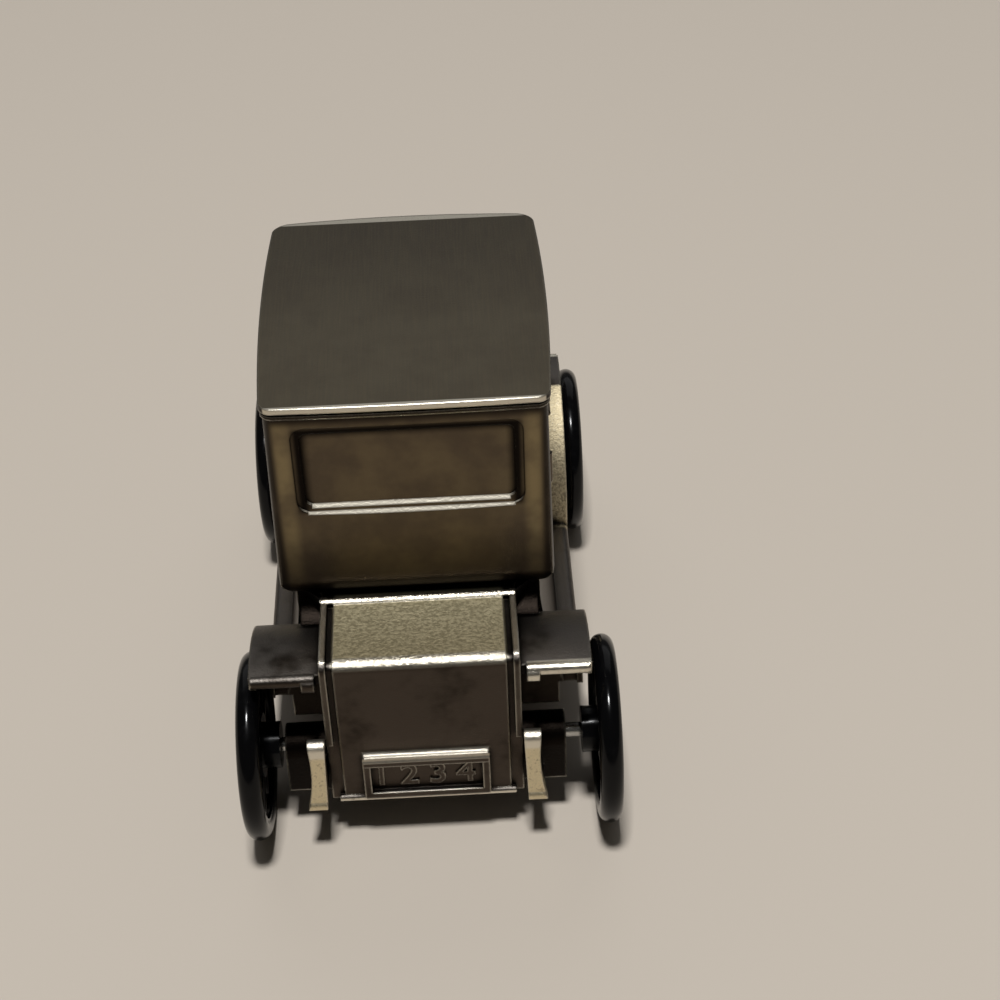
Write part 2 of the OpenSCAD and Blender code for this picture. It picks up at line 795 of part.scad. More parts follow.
module cab_screws() {
  color(steel)
    for (x = [-post_x, post_x], y = [-post_y, post_y])
      translate([x, y, seam_z - cab_lug_t]) screw(cab_lug_t + post_len - 2.5);
}

// Round steel axle, stepped down at both ends, with a riveted head outside each hub
module axle(y, slip) {
  color(steel) translate([slip, y, tyre_r]) {
    rotate([0, 90, 0]) cylinder(r = axle_r, h = 2 * shoulder_x, center = true);
    rotate([0, 90, 0]) cylinder(r = axle_end_r, h = 2 * (head_x + head_h / 2), center = true);
    both_sides() translate([head_x, 0, 0]) rotate([0, 90, 0])
      intersection() {
        cylinder(r = head_r, h = 2 * head_h);
        translate([0, 0, head_h - head_dome_r]) sphere(head_dome_r);
      }
  }
}

// Wheel with its outer side towards +Z and the middle of its tyre at the origin
module wheel_form() {
  rim_in = tyre_r - rim_depth;
  difference() {
    union() {
      rotate_extrude($fn = 96) {
        translate([tyre_r - tyre_round_r, 0]) circle(tyre_round_r, $fn = small_fn);
        translate([rim_in, -felloe_w / 2]) square([rim_depth - tyre_round_r, felloe_w]);
      }
      translate([0, 0, -hub_reach]) cylinder(r = hub_r, h = hub_reach);
      cylinder(r = hub_flange_r, h = 2 * flange_half, center = true);
      cylinder(r = hub_collar_r, h = hub_collar_h);
      for (i = [0 : spokes - 1]) rotate([0, 0, i * 360 / spokes]) translate([spoke_in_r, 0, 0]) rotate([0, 90, 0])
        cylinder(r1 = spoke_hub_r, r2 = spoke_rim_r, h = rim_in - spoke_in_r + 0.6, $fn = small_fn);
      for (i = [0 : studs - 1]) rotate([0, 0, (i + 0.5) * 360 / studs])
        translate([(hub_flange_r + hub_collar_r) / 2, 0, flange_half - eps]) cylinder(r = stud_r, h = stud_h, $fn = small_fn);
    }
    translate([0, 0, hub_face]) cylinder(r = collar_bore_r, h = hub_collar_h);
    translate([0, 0, -hub_reach - 1]) cylinder(r = bore_r, h = hub_reach + hub_face + 2);
  }
}

module wheel(side, y, slip) {
  color(black_plastic) translate([slip + side * track / 2, y, tyre_r]) rotate([0, side * 90, 0]) wheel_form();
}

// Pressed cover: a flat rim under the base plate, a pan that fills the opening, and a fixed catch
module trap_cover() {
  color(steel)
    difference() {
      union() {
        rotate_extrude($fn = 96)
          polygon([
            [0, disc_low_z], [pan_r - pan_t, disc_low_z], [pan_r - pan_t, rim_low_z], [rim_r, rim_low_z],
            [rim_r, rim_low_z + rim_t], [pan_r, rim_low_z + rim_t], [pan_r, disc_top_z], [0, disc_top_z]
          ]);
        catch_low_z = collar_top_z + catch_gap;
        intersection() {
          nose_across(catch_w)
            polygon([
              [pan_r - 3.2, disc_top_z - 0.4], [pan_r - 1.9, disc_top_z - 0.4], [pan_r - 1.9, catch_low_z],
              [rim_r, catch_low_z], [rim_r, catch_low_z + catch_t], [pan_r - 3.2, catch_low_z + catch_t]
            ]);
          cylinder(r = catch_reach, h = roof_z);
        }
      }
      translate([0, lock_offset, disc_low_z - 1]) cylinder(r = barrel_r + spigot_fit, h = pan_t + 2);
      rivet_places() translate([0, 0, disc_low_z - 1]) cylinder(r = rivet_r + spigot_fit, h = pan_t + 2);
    }
}

module rivet_places() {
  for (s = [-1, 1]) translate([s * rivet_at * cos(45), lock_offset - rivet_at * sin(45), 0]) children();
}

module lock_barrel() {
  color(brass)
    difference() {
      translate([0, lock_offset, 0]) union() {
        translate([0, 0, disc_low_z]) cylinder(r = barrel_r, h = barrel_top_z - disc_low_z);
        translate([0, 0, disc_top_z]) cylinder(r = barrel_flange_r, h = barrel_flange_t);
        difference() {
          translate([0, 0, barrel_top_z - eps]) cylinder(r = barrel_r, h = stop_h + eps);
          translate([0, 0, barrel_top_z - eps]) linear_extrude(stop_h + 1) sector(-ear_half - stop_play, turn_deg + ear_half + stop_play);
        }
      }
      translate([0, lock_offset, disc_low_z - 1]) {
        cylinder(r = plug_r + turn_fit, h = barrel_top_z + stop_h);
        cylinder(r = plug_lip_r + turn_fit, h = plug_lip_t + 1);
      }
      rivet_places() translate([0, 0, disc_low_z - 1]) cylinder(r = rivet_r + spigot_fit, h = pan_t + barrel_flange_t + 2);
    }
}

module barrel_rivets() {
  low = disc_low_z - rivet_head_h;
  high = disc_top_z + barrel_flange_t;
  color(steel) rivet_places() {
    translate([0, 0, low]) cylinder(r = rivet_r, h = high - low + rivet_head_h, $fn = small_fn);
    translate([0, 0, low]) cylinder(r = rivet_head_r, h = rivet_head_h, $fn = small_fn);
    translate([0, 0, high]) cylinder(r = rivet_head_r, h = rivet_head_h, $fn = small_fn);
  }
}

// Pie slice from one angle to another, wider than the lock
module sector(a1, a2) {
  steps = 4;
  polygon([[0, 0], for (i = [0 : steps]) let (a = a1 + (a2 - a1) * i / steps) 3 * barrel_r * [cos(a), sin(a)]]);
}

module lock_plug() {
  color(brass) translate([0, lock_offset, 0])
    difference() {
      union() {
        translate([0, 0, disc_low_z]) cylinder(r = plug_lip_r, h = plug_lip_t - seat_gap);
        translate([0, 0, disc_low_z]) cylinder(r = plug_r, h = tang_z - disc_low_z);
        translate([-tang_w / 2, -tang_w / 2, tang_z - eps]) cube([tang_w, tang_w, washer_t + cam_t]);
      }
      translate([-keyway_w / 2, -keyway_len / 2, disc_low_z - 1]) cube([keyway_w, keyway_len, keyway_depth + 1]);
      translate([0, -ward_len, disc_low_z - 1]) cube([keyway_w / 2 + ward_w, ward_len, keyway_depth + 1]);
      translate([0, 0, cam_seat_z + cam_t - cam_screw_len]) cylinder(r = cam_screw_r, h = cam_screw_len + 1, $fn = small_fn);
    }
}

// Washer on the square tang, whose ear runs between the ends of the barrel's raised wall
module stop_washer() {
  hole = tang_w + 2 * tang_fit;
  color(steel) translate([0, lock_offset, tang_z])
    difference() {
      union() {
        cylinder(r = washer_r, h = washer_t);
        intersection() {
          cylinder(r = ear_r, h = washer_t);
          linear_extrude(washer_t) sector(-ear_half, ear_half);
        }
      }
      translate([-hole / 2, -hole / 2, -1]) cube([hole, hole, washer_t + 2]);
    }
}

// Cranked steel cam: it leaves the plug's tang, steps down beside the barrel and locks over the collar
module lock_cam() {
  z1 = cam_seat_z;
  leg_out = cam_leg_in + cam_t;
  hole = tang_w + 2 * tang_fit;
  color(steel) translate([0, lock_offset, 0])
    difference() {
      union() {
        translate([0, 0, z1]) cylinder(r = cam_w / 2 + 1, h = cam_t);
        across(cam_w)
          polygon([
            [0, z1], [cam_leg_in, z1], [cam_leg_in, cam_low_z], [cam_reach, cam_low_z],
            [cam_reach, cam_low_z + cam_t], [leg_out, cam_low_z + cam_t], [leg_out, z1 + cam_t], [0, z1 + cam_t]
          ]);
      }
      translate([-hole / 2, -hole / 2, z1 - 1]) cube([hole, hole, cam_t + 2]);
    }
}

module cam_screw() {
  z1 = cam_seat_z + cam_t;
  color(steel) translate([0, lock_offset, 0])
    difference() {
      union() {
        translate([0, 0, z1 - cam_screw_len + 1]) cylinder(r = cam_screw_r - thread_fit, h = cam_screw_len, $fn = small_fn);
        translate([0, 0, z1]) cylinder(r = cam_screw_head_r, h = cam_screw_head_h, $fn = small_fn);
      }
      translate([0, 0, z1 + cam_screw_head_h]) cube([3 * cam_screw_head_r, drive_slot_w, drive_slot_d], center = true);
    }
}

cab_casting();
chassis_casting();
base_plate();
base_plate_screws();
cab_screws();
axle(-wheelbase / 2, front_slip);  // front_axle
axle(wheelbase / 2, 0);  // rear_axle
wheel(1, -wheelbase / 2, front_slip);  // front_left_wheel
wheel(-1, -wheelbase / 2, front_slip);  // front_right_wheel
wheel(1, wheelbase / 2, 0);  // rear_left_wheel
wheel(-1, wheelbase / 2, 0);  // rear_right_wheel
trap_cover();
lock_barrel();
barrel_rivets();
lock_plug();
stop_washer();
lock_cam();
cam_screw();
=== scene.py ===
# %% [markdown]
# # A die-cast car bank in antiqued bronze
# The object is a heavy toy car that is a coin bank: a tall coupe cast in zinc, plated and darkened to
# look like old bronze, on four black spoked wheels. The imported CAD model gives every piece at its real
# size, so this lesson adds what CAD leaves out: the finish of each piece, a fuller roll at the foot of
# the cab, hollow corners beside the hood, the digits on the number plate, and the light and camera of the
# photograph.

# %% Load the frame
import math

import bmesh
import bpy
from mathutils import Matrix, Vector


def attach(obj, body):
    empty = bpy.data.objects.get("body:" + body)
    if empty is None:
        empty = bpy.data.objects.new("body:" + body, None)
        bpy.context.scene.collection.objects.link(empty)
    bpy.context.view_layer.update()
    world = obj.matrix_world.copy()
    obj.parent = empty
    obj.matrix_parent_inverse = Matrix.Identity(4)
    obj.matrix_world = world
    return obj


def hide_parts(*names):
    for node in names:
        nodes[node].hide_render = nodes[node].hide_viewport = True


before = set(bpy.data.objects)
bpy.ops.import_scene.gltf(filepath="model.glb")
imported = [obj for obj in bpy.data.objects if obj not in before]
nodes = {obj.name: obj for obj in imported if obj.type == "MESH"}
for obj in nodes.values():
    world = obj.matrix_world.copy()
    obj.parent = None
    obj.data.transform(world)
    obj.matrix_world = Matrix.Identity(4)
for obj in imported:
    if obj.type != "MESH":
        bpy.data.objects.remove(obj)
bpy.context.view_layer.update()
MM = 0.001
print("pieces from CAD:", len(nodes))

# %% [markdown]
# ## Small helpers
# Colours are written as the sRGB hex values that a paint chart would give. The shader wants linear light,
# so one function turns them. A second one adds a shader or geometry node, sets it and links its inputs,
# and gives back its outputs, so that each finish below reads as a short recipe. Every node could be
# written out in full instead, at four or five lines a node.

# %% Colour
def linear(code):
    """Linear RGBA of an sRGB colour such as "#a08050"."""
    parts = [int(code[i:i + 2], 16) / 255 for i in (1, 3, 5)]
    return tuple(c / 12.92 if c <= 0.04045 else ((c + 0.055) / 1.055) ** 2.4 for c in parts) + (1.0,)


# %% Nodes
def add(tree, kind, inputs=None, **settings):
    """Adds a node, sets it, fills or links its inputs by name or number, and returns its outputs."""
    made = tree.nodes.new(kind)
    for key, value in settings.items():
        setattr(made, key, value)
    for key, value in (inputs or {}).items():
        if isinstance(value, bpy.types.NodeSocket):
            tree.links.new(value, made.inputs[key])
        else:
            made.inputs[key].default_value = value
    return made.outputs


# %% Materials and pieces
def new_material(name, **sockets):
    """A material, its tree and its Principled shader, with some of that shader's own sockets set."""
    material = bpy.data.materials.new(name)
    material.use_nodes = True
    tree = material.node_tree
    shader = tree.nodes["Principled BSDF"]
    for key, value in sockets.items():
        shader.inputs[key.replace("_", " ")].default_value = value
    return material, tree, shader


def finish_cad(material, *names):
    """Gives a material to CAD pieces."""
    for name in names:
        nodes[name].data.materials.clear()
        nodes[name].data.materials.append(material)
    print(material.name, "on", ", ".join(names))


def smooth(mesh, sharp_deg):
    """Smooth shading that still breaks at edges sharper than an angle in degrees."""
    mesh.shade_smooth()
    mesh.set_sharp_from_angle(angle=math.radians(sharp_deg))


def placed(name, mesh):
    """An object with its place in its mesh, linked to the scene."""
    piece = bpy.data.objects.new(name, mesh)
    bpy.context.scene.collection.objects.link(piece)
    return piece


# %% [markdown]
# ## Antiqued bronze on a zinc casting
# The real finish is made in three steps: the casting is plated with brass or copper, dipped in a solution
# that turns it almost black, and then rubbed, so that the bright metal comes back on the edges and on
# flat tops while the corners and grooves stay dark. The recipe follows those steps. Ambient occlusion
# finds the grooves, a bevel node finds the edges, soft-edged regions in millimetres say where a hand
# rubbed hardest, and noise at the size of the cast grain breaks it all up. A wear map painted by hand
# would also do, but it would have to be painted again after every change of shape.

# %% Measures of the finish, in millimetres
GRAIN_MM = 0.4  # cast grain, really about 0.1 mm, drawn as coarse as it needs to show
LINE_MM = 0.35  # width of a rubbing line, coarser than the real one for the same reason
PIT_MM = 0.75  # leathery pits of the gilded panel and fenders
SMEAR_MM = 1.6  # breaks in the line that a cloth leaves on an edge
CLOUD_MM = 11.0  # uneven patches of the dip
GROOVE_MM = 3.0  # how near another wall keeps the cloth away
SOFT_EDGE_MM = 0.6  # radius that a die casting's edge has
RUBBED_EDGE_MM = 0.7  # how far from an edge the bare metal reaches
FADE_MM = 0.8  # usual width of the border of a region
AXLE_MM = (47.5, 19.3)  # an axle's distance from the middle of the car and from the ground


# %% Patches, and how masks meet
def mottle(tree, place, size_mm, low=0.3, high=0.7, to=(0.0, 1.0), detail=3.0, stretch=(1, 1, 1)):
    """Patches about size_mm across: to[0] where the noise is below low, to[1] where it is above high."""
    per_metre = [s / (size_mm * MM) for s in stretch]
    sized = add(tree, "ShaderNodeVectorMath", {0: place, 1: per_metre}, operation="MULTIPLY")[0]
    noise = {"Vector": sized, "Scale": 1.0, "Detail": detail, "Roughness": 0.6}
    cloud = add(tree, "ShaderNodeTexNoise", noise)[0]
    return add(tree, "ShaderNodeMapRange", {0: cloud, 1: low, 2: high, 3: to[0], 4: to[1]},
               interpolation_type="SMOOTHSTEP")[0]


def patches(tree, place, table):
    """The noise of a table of patches, by name."""
    return {name: mottle(tree, place, **settings) for name, settings in table.items()}


def overlap(tree, *masks):
    """The product of several masks: 1 only where all of them are 1."""
    total = masks[0]
    for mask in masks[1:]:
        total = add(tree, "ShaderNodeMath", {0: total, 1: mask}, operation="MULTIPLY")[0]
    return total


def brightest(tree, *masks):
    """The highest of several masks at each point."""
    total = masks[0]
    for mask in masks[1:]:
        total = add(tree, "ShaderNodeMath", {0: total, 1: mask}, operation="MAXIMUM")[0]
    return total


def without(tree, mask, *spared):
    """A mask with others taken away from it."""
    for other in spared:
        mask = add(tree, "ShaderNodeMath", {0: mask, 1: other}, operation="SUBTRACT", use_clamp=True)[0]
    return mask


# %% Regions
def region(tree, where, fade=FADE_MM, most=1.0, **limits):
    """A soft-edged region that reaches most; each limit is a measure's lowest and highest value, or None."""
    masks = []
    for measure, ends in limits.items():
        for edge, way in zip(ends, (-1, 1)):
            if edge is not None:
                outside, inside = (edge + way * fade / 2) * MM, (edge - way * fade / 2) * MM
                masks.append(add(tree, "ShaderNodeMapRange", {0: where[measure], 1: outside, 2: inside},
                                 interpolation_type="SMOOTHSTEP")[0])
    return overlap(tree, *masks, *([most] if most < 1 else []))


def regions(tree, where, table):
    """The masks of a table of regions, by name."""
    return {name: region(tree, where, **limits) for name, limits in table.items()}


# %% Where a point lies, and which way it faces
FACES_UP = (0.4, 0.85)  # upward part of the normal, from a wall to a flat top


def survey(tree):
    """Object coordinates, measures by name in metres, and 1 on faces that look up.

    side and end are distances from the middle of the car across and along it; arch is the distance from the
    nearest axle.
    """
    spot = add(tree, "ShaderNodeTexCoord")
    where = dict(zip("xyz", add(tree, "ShaderNodeSeparateXYZ", {0: spot["Object"]})))
    for name, axis in (("side", "x"), ("end", "y")):
        where[name] = add(tree, "ShaderNodeMath", {0: where[axis]}, operation="ABSOLUTE")[0]
    hub = add(tree, "ShaderNodeCombineXYZ", {1: where["end"], 2: where["z"]})[0]
    axle = [0, AXLE_MM[0] * MM, AXLE_MM[1] * MM]
    where["arch"] = add(tree, "ShaderNodeVectorMath", {0: hub, 1: axle}, operation="DISTANCE")["Value"]
    up = add(tree, "ShaderNodeSeparateXYZ", {0: spot["Normal"]})[2]
    top = add(tree, "ShaderNodeMapRange", {0: up, 1: FACES_UP[0], 2: FACES_UP[1]},
              interpolation_type="SMOOTHSTEP")[0]
    return spot["Object"], where, top


# %% Grooves and rubbed edges
OPEN_TO_DEEP = (0.96, 0.55)  # share of the sky that an open face and a groove see
FLAT_TO_EDGE = (0.99, 0.82)  # how far the rounded and the plain normal agree on a face and on an edge
GRAIN_SHARE = (0.45, 1.0)  # how much of an edge the cloth bares on low and on high grain


def grooves(tree):
    """1 in a corner or groove and 0 on an open face."""
    sky = add(tree, "ShaderNodeAmbientOcclusion", {"Distance": GROOVE_MM * MM},
              samples=8, only_local=True)["AO"]
    return add(tree, "ShaderNodeMapRange", {0: sky, 1: OPEN_TO_DEEP[0], 2: OPEN_TO_DEEP[1]},
               interpolation_type="SMOOTHSTEP")[0]


def rubbed_edges(tree, groove, grain):
    """1 on an edge that a cloth reaches, broken up by the grain, and 0 on a flat face or in a groove."""
    rounded = add(tree, "ShaderNodeBevel", {"Radius": RUBBED_EDGE_MM * MM}, samples=6)[0]
    plain = add(tree, "ShaderNodeNewGeometry")["Normal"]
    agree = add(tree, "ShaderNodeVectorMath", {0: rounded, 1: plain}, operation="DOT_PRODUCT")["Value"]
    edge = add(tree, "ShaderNodeMapRange", {0: agree, 1: FLAT_TO_EDGE[0], 2: FLAT_TO_EDGE[1]},
               interpolation_type="SMOOTHSTEP")[0]
    bared = add(tree, "ShaderNodeMapRange", {0: grain, 3: GRAIN_SHARE[0], 4: GRAIN_SHARE[1]})[0]
    return overlap(tree, edge, without(tree, 1.0, groove), bared)


# %% Coats of colour, and the cast surface
def layers(tree, base, *coats):
    """Colours laid over each other, each where its mask is 1; a colour is a hex code or a node's output."""
    def tone(colour):
        return linear(colour) if isinstance(colour, str) else colour

    paint = tone(base)
    for mask, colour in coats:
        paint = add(tree, "ShaderNodeMix", {"Factor": mask, 6: paint, 7: tone(colour)}, data_type="RGBA")[2]
    return paint


def cast_surface(tree, shader, height, strength, depth_mm):
    """Cast grain on faces whose sharp CAD edges are softened, as a die casting's are."""
    soft = add(tree, "ShaderNodeBevel", {"Radius": SOFT_EDGE_MM * MM}, samples=6)[0]
    relief = {"Height": height, "Strength": strength, "Distance": depth_mm * MM, "Normal": soft}
    tree.links.new(add(tree, "ShaderNodeBump", relief)[0], shader.inputs["Normal"])


# %% Tones of the bronze, from the dipped black to the bare metal
# The blackest tone is the dip's black in grooves, and also painted shade on the windscreen's groove, the
# axle carriers, the hollow corners and the strip under the cab.
DIP_BLACK_AND_SHADE, DARK, FACE, FENDER = "#171310", "#2a241e", "#473f38", "#605b56"
FIELD, ROOF, OLIVE, GOLD = "#584d40", "#665f51", "#7d7458", "#8f8060"
PANEL, WARM, BARE = "#c4ba9b", "#e0d2b1", "#ddd6c6"

# %% [markdown]
# ## Finish of the cab
# The cab is rubbed unevenly. Its walls are olive brown, with gold beside the corner posts, and they
# darken towards the foot, round the corners and under the roof. The windscreen is a cast panel in a
# groove that is painted black, a painted shade and dark reflection of its sloping surround, over two
# bright sills. The roof is plain brown with fine lines along the car. Each of these is one row of a
# table, so that the look can be changed without touching the nodes. Vertex paint would do too, but the
# mesh has far too few points on its flat walls to hold such narrow lines.

# %% Regions of the cab: the width of the border, the highest value and the limits, in millimetres
FRONT = (None, -30.0)
CAB_REGIONS = {
    # Gold beside each corner post
    "post": dict(fade=2.4, side=(22.6, 25.5)),
    # Dark round each corner
    "corner": dict(fade=1.4, side=(25.7, None), end=(31.0, None)),
    # Dark under the edge of the roof, at both ends
    "brow": dict(fade=2.4, end=(30.0, None), z=(89.2, None)),
    # Slowly darker towards the foot
    "low": dict(fade=17.0, most=0.8, z=(None, 55.5)),
    # Slowly darker towards the back of the roof
    "back": dict(fade=56.0, most=0.45, y=(8.0, None)),
    # The windscreen with its groove, and the pane inside it: what lies between the two is painted black, a
    # painted shade and dark reflection of the groove's sloping surround
    "screen": dict(fade=1.6, y=FRONT, side=(None, 21.9), z=(67.9, 87.9)),
    "pane": dict(fade=2.2, y=FRONT, side=(None, 19.7), z=(66.0, 85.6)),
    # The windscreen's frame, whose edges a cloth hardly reaches
    "frame": dict(fade=0.5, most=0.85, y=FRONT, side=(None, 23.4), z=(66.0, 89.6)),
    # Bare tops of the window sills
    "sill": dict(fade=0.6, z=(66.6, 70.2)),
    # Bare lip of the roof, at both ends
    "lip": dict(fade=0.3, most=0.85, end=(33.0, None), z=(92.2, None)),
}


# %% Patches of the cab: their size, the range of the noise that counts, and the values at its ends
CAB_PATCHES = {
    "grain": dict(size_mm=GRAIN_MM, low=0.2, high=0.8),
    # The gold beside the posts comes and goes, but the corners are dark nearly all over
    "uneven_post": dict(size_mm=CLOUD_MM, low=0.3, high=0.6, to=(0.3, 0.8)),
    "uneven_corner": dict(size_mm=CLOUD_MM, low=0.3, high=0.6, to=(0.7, 0.95)),
    "cloud": dict(size_mm=CLOUD_MM, low=0.35, high=0.7),
    # Rubbing lines along the car
    "lines": dict(size_mm=LINE_MM, low=0.3, high=0.75, to=(0.0, 0.1), stretch=(1, 0.03, 0.03)),
}
FAINT = 0.25  # how strongly the clouds show


# %% Masks of the cab
def cab_masks(tree, place, where, top):
    """The patches and regions of the cab, with its grooves, sills and rubbed edges."""
    on = patches(tree, place, CAB_PATCHES) | regions(tree, where, CAB_REGIONS)
    groove = grooves(tree)
    on["post"] = overlap(tree, on["post"], on["uneven_post"])
    on["corner"] = overlap(tree, on["corner"], on["uneven_corner"])
    on["faint"] = overlap(tree, on["cloud"], FAINT)
    on["deep"] = overlap(tree, groove, groove)
    # The groove round the windscreen's pane is painted black: painted shade and dark reflection of its
    # sloping surround
    on["band"] = without(tree, on["screen"], on["pane"])
    on["sill"] = overlap(tree, top, on["sill"])
    on["edge"] = without(tree, rubbed_edges(tree, groove, on["grain"]), on["frame"])
    return on


# %% Bronze of the cab
CAB_MATT, CAB_POLISHED, SILL_ROUGHNESS = (0.34, 0.44), 0.26, 0.42


def cab_finish():
    """Dull olive metal whose bright sills, lip and edges catch the lamp in thin lines."""
    material, tree, shader = new_material("antiqued_bronze_cab", Metallic=1.0)
    place, where, top = survey(tree)
    on = cab_masks(tree, place, where, top)
    roof = layers(tree, ROOF, (on["back"], DARK), (on["faint"], FACE), (on["lines"], GOLD))
    # Painted shade and dark reflection: the black in the windscreen's groove
    body = layers(tree, FIELD, (on["faint"], GOLD), (on["post"], GOLD), (on["low"], DARK),
                  (on["corner"], DARK), (on["brow"], DARK), (on["band"], DIP_BLACK_AND_SHADE), (top, roof),
                  (on["deep"], DIP_BLACK_AND_SHADE), (on["edge"], BARE), (on["sill"], BARE), (on["lip"], BARE))
    bright = brightest(tree, on["edge"], on["sill"], on["lip"])
    matt = add(tree, "ShaderNodeMapRange", {0: on["grain"], 3: CAB_MATT[0], 4: CAB_MATT[1]})[0]
    polish = add(tree, "ShaderNodeMix", {"Factor": on["sill"], 2: CAB_POLISHED, 3: SILL_ROUGHNESS})[0]
    rough = add(tree, "ShaderNodeMix", {"Factor": bright, 2: matt, 3: polish})[0]
    tree.links.new(body, shader.inputs["Base Color"])
    tree.links.new(rough, shader.inputs["Roughness"])
    cast_surface(tree, shader, on["grain"], strength=0.3, depth_mm=0.06)
    return material


cab_bronze = cab_finish()
finish_cad(cab_bronze, "cab_casting")

# %% [markdown]
# ## The foot of the cab
# On the real casting the walls roll under and end level with the hood, so no gap shows between the two.
# The CAD cab ends 2 mm higher, with a rounder roll, which leaves room for the openings inside. The scene
# shows a copy of the same casting whose foot is drawn down: each point below the start of the roll moves
# down in proportion and outward by the difference of the two rolls. Modelling the cab again would give
# the same shape with far more work. A CAD mesh is loose triangles, so the copy is merged first, and gets
# smooth shading again at the end.

# %% Measures of the roll
ROLL_TOP_MM, ROLL_R_MM = 56.5, 8.0  # where the roll starts, and its radius
CAD_FOOT_MM, CAD_CENTRE_MM = 48.5, 55.3  # the CAD cab's lowest edge, and the middle of its arc
FOOT_MM = 46.4  # the lowest edge here
TUCK_MM = {"side": 2.7, "end": 1.6}  # how far the roll draws in across and along the car
MERGE_MM = 0.001
CAB_SHARP_DEG = 30


def drawn_in(z, centre):
    """How far a roll has drawn in at height z, if the middle of its arc lies at height centre."""
    return ROLL_R_MM - math.sqrt(ROLL_R_MM ** 2 - max(0.0, centre - z) ** 2)


CENTRES_MM = [FOOT_MM + math.sqrt(ROLL_R_MM ** 2 - (ROLL_R_MM - TUCK_MM[way]) ** 2)
              for way in ("side", "end")]
print("middle of the new arcs:", [round(c, 2) for c in CENTRES_MM], "mm up")


# %% Cab with its foot drawn down
def merged_copy(node):
    """A copy of a CAD piece's mesh with its loose triangles joined."""
    mesh = nodes[node].data.copy()
    mesh.attributes.remove(mesh.attributes["custom_normal"])
    joined = bmesh.new()
    joined.from_mesh(mesh)
    bmesh.ops.remove_doubles(joined, verts=joined.verts, dist=MERGE_MM * MM)
    joined.to_mesh(mesh)
    joined.free()
    return mesh


def cab_with_full_roll():
    """The cab's own mesh with every point below the start of the roll moved down and out."""
    reach = [max(abs(v.co[i]) for v in nodes["cab_casting"].data.vertices) / MM for i in (0, 1)]
    stretch = (ROLL_TOP_MM - FOOT_MM) / (ROLL_TOP_MM - CAD_FOOT_MM)
    mesh = merged_copy("cab_casting")
    for vertex in mesh.vertices:
        x, y, z = vertex.co / MM
        if z < ROLL_TOP_MM:
            low = ROLL_TOP_MM - (ROLL_TOP_MM - z) * stretch
            across, along = (1 + (drawn_in(z, CAD_CENTRE_MM) - drawn_in(low, centre)) / half
                             for centre, half in zip(CENTRES_MM, reach))
            vertex.co = Vector((x * across, y * along, low)) * MM
    smooth(mesh, CAB_SHARP_DEG)
    cab = placed("cab_with_full_roll", mesh)
    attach(cab, "body")
    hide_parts("cab_casting")
    foot = min(v.co.z for v in mesh.vertices) / MM
    print("cab:", len(mesh.polygons), "faces on", len(mesh.vertices), "points, foot at", round(foot, 2))


cab_with_full_roll()

# %% [markdown]
# ## Finish of the chassis
# The lower casting got the same dip but a bolder rub. The hood's flat top is gilded and pitted like
# leather, brighter at the back than at the front. The spring horns are pale gold, and so are the rear
# fenders, whose gold is partly a painted highlight where the lamp falls on them. The lips, ribs and the
# bar over the number plate are bare, and the far lips of the left fenders carry a painted highlight too.
# The axle carriers are painted black, the dip's dark deepened into painted shade, and the corners behind
# the hood and the strip under the cab are painted black as the cab's shade. The recipe is the cab's, with
# a table of its own. One table for both would save some lines, but a region of one casting would then
# have to be kept off the other.

# %% Regions of the chassis: the width of the border, the highest value and the limits, in millimetres
CHASSIS_REGIONS = {
    # Gilded tops of the hood and of the rear deck, and the duller gold at the front of the hood
    "panel": dict(z=(45.6, None), side=(None, 17.0)),
    "faded": dict(fade=14.0, most=0.4, y=(None, -45.0)),
    # Axle carriers painted black: the dip's dark, deepened into painted shade under the fenders
    "carrier": dict(side=(19.6, None), end=(38.0, 54.5), z=(None, 35.0)),
    # Hollow corners painted black as painted shade under the cab, and the strip under the cab painted black
    # as its shade, with no bright edges
    "corner": dict(fade=0.6, side=(18.8, 24.9), end=(29.2, 37.0), z=(36.0, None)),
    "under_cab_shade": dict(fade=0.4, side=(None, 24.6), end=(29.2, 34.7), z=(38.0, None)),
    # Gold spring horns with bare tops
    "horn": dict(fade=0.4, side=(18.6, None), end=(56.6, None)),
    "horn_top": dict(fade=1.0, side=(18.6, None), end=(56.0, None), z=(26.5, None)),
    # Gold sweep of the rear fenders, set where the lamp's highlight falls on the arch, so partly rubbed gold
    # and partly painted highlight; browner towards its foot
    "rear": dict(fade=1.0, side=(26.0, None), y=(22.0, 41.0), arch=(19.4, 26.0)),
    "rear_foot": dict(fade=10.0, z=(None, 33.0)),
    # The end of an inner rib that stands a hair proud of the wall below the door, never rubbed
    "rib_end": dict(fade=0.6, side=(26.4, None), end=(None, 2.2), z=(22.8, 26.2)),
}
RUBBED_LIPS = {
    # The bar over the number plate
    "plate_top": dict(fade=0.2, most=0.6, side=(None, 13.0), end=(55.3, None), z=(21.6, None)),
    # The slope between the hood's top and its face
    "bevel": dict(fade=1.0, most=0.8, side=(None, 17.2), end=(52.9, None), z=(45.8, None)),
    # The lowest lip of that face
    "foot": dict(fade=0.2, side=(None, 18.1), end=(54.6, None), z=(None, 11.1)),
    # The ribs along the hood's sides
    "ribs": dict(fade=0.1, side=(18.2, None), z=(47.15, None)),
    # The lip where the hood meets the cab
    "back_lip": dict(fade=0.3, z=(47.3, None), side=(None, 20.0), end=(None, 37.4)),
    # The far edges of the left fenders, in front and behind, painted brighter than the right ones: bare
    # metal with a painted highlight on that side
    "left_lip_highlight": dict(fade=0.5, x=(21.0, None), end=(52.2, None), z=(38.0, None)),
}


